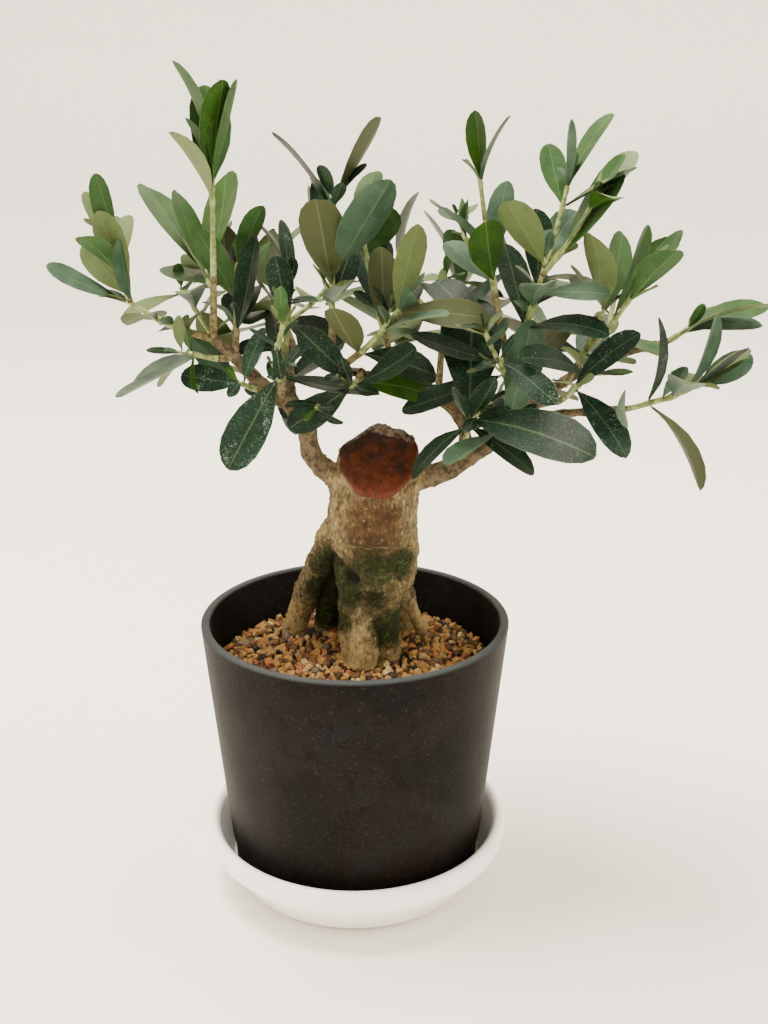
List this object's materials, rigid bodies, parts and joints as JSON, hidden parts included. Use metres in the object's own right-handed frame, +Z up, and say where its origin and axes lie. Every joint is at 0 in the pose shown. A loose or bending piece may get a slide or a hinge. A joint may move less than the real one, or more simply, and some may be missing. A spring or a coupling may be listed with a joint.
{
  "type": "potted bonsai olive tree",
  "caption": "Small bonsai olive tree with a thick sawn trunk and upright leafy shoots, in a round black pot filled with gravel on a white drip saucer.",
  "frame": {"origin": "centre of the saucer's flat underside, on the axis of the pot", "axes": "+Z up along the pot's axis, +X to the right seen from the front, +Y to the back; the saw cut on the trunk faces -Y"},
  "size_m": [0.2008, 0.1133, 0.2392],
  "materials": {
    "saucer_plastic": "smooth moulded white plastic",
    "pot_plastic": "thin moulded charcoal black plastic",
    "gravel": "loose tan and brown potting gravel",
    "bark": "grey-tan bark with pits and moss",
    "foliage": "leathery green leaves on thin twigs"
  },
  "bodies": {
    "root": {"saucer": "saucer_plastic", "pot": "pot_plastic", "gravel": "gravel", "trunk": "bark", "bough_left": "bark", "bough_right": "bark", "stub_left": "bark", "bough_centre": "bark", "bough_right_low": "bark", "bough_right_high": "bark", "bough_right_back": "bark", "bough_back_left": "bark", "bough_back_right": "bark", "spray_left_outer": "foliage", "spray_left_tall": "foliage", "spray_left_low": "foliage", "spray_left_under": "foliage", "spray_left_inner": "foliage", "spray_left_core": "foliage", "spray_left_front": "foliage", "sprig_stub": "foliage", "spray_centre_left": "foliage", "spray_centre_front": "foliage", "spray_centre_back": "foliage", "spray_middle": "foliage", "spray_right_tall": "foliage", "spray_right_mid": "foliage", "spray_right_high": "foliage", "spray_right_end": "foliage", "spray_right_low": "foliage", "spray_front": "foliage", "spray_front_mid": "foliage", "spray_back_left": "foliage", "spray_back_right": "foliage", "spray_back_centre": "foliage", "spray_back_far_right": "foliage", "spray_back_far_left": "foliage", "spray_low_centre": "foliage", "spray_low_right": "foliage", "spray_low_back": "foliage", "spray_low_back_left": "foliage"}
  },
  "joints": []
}
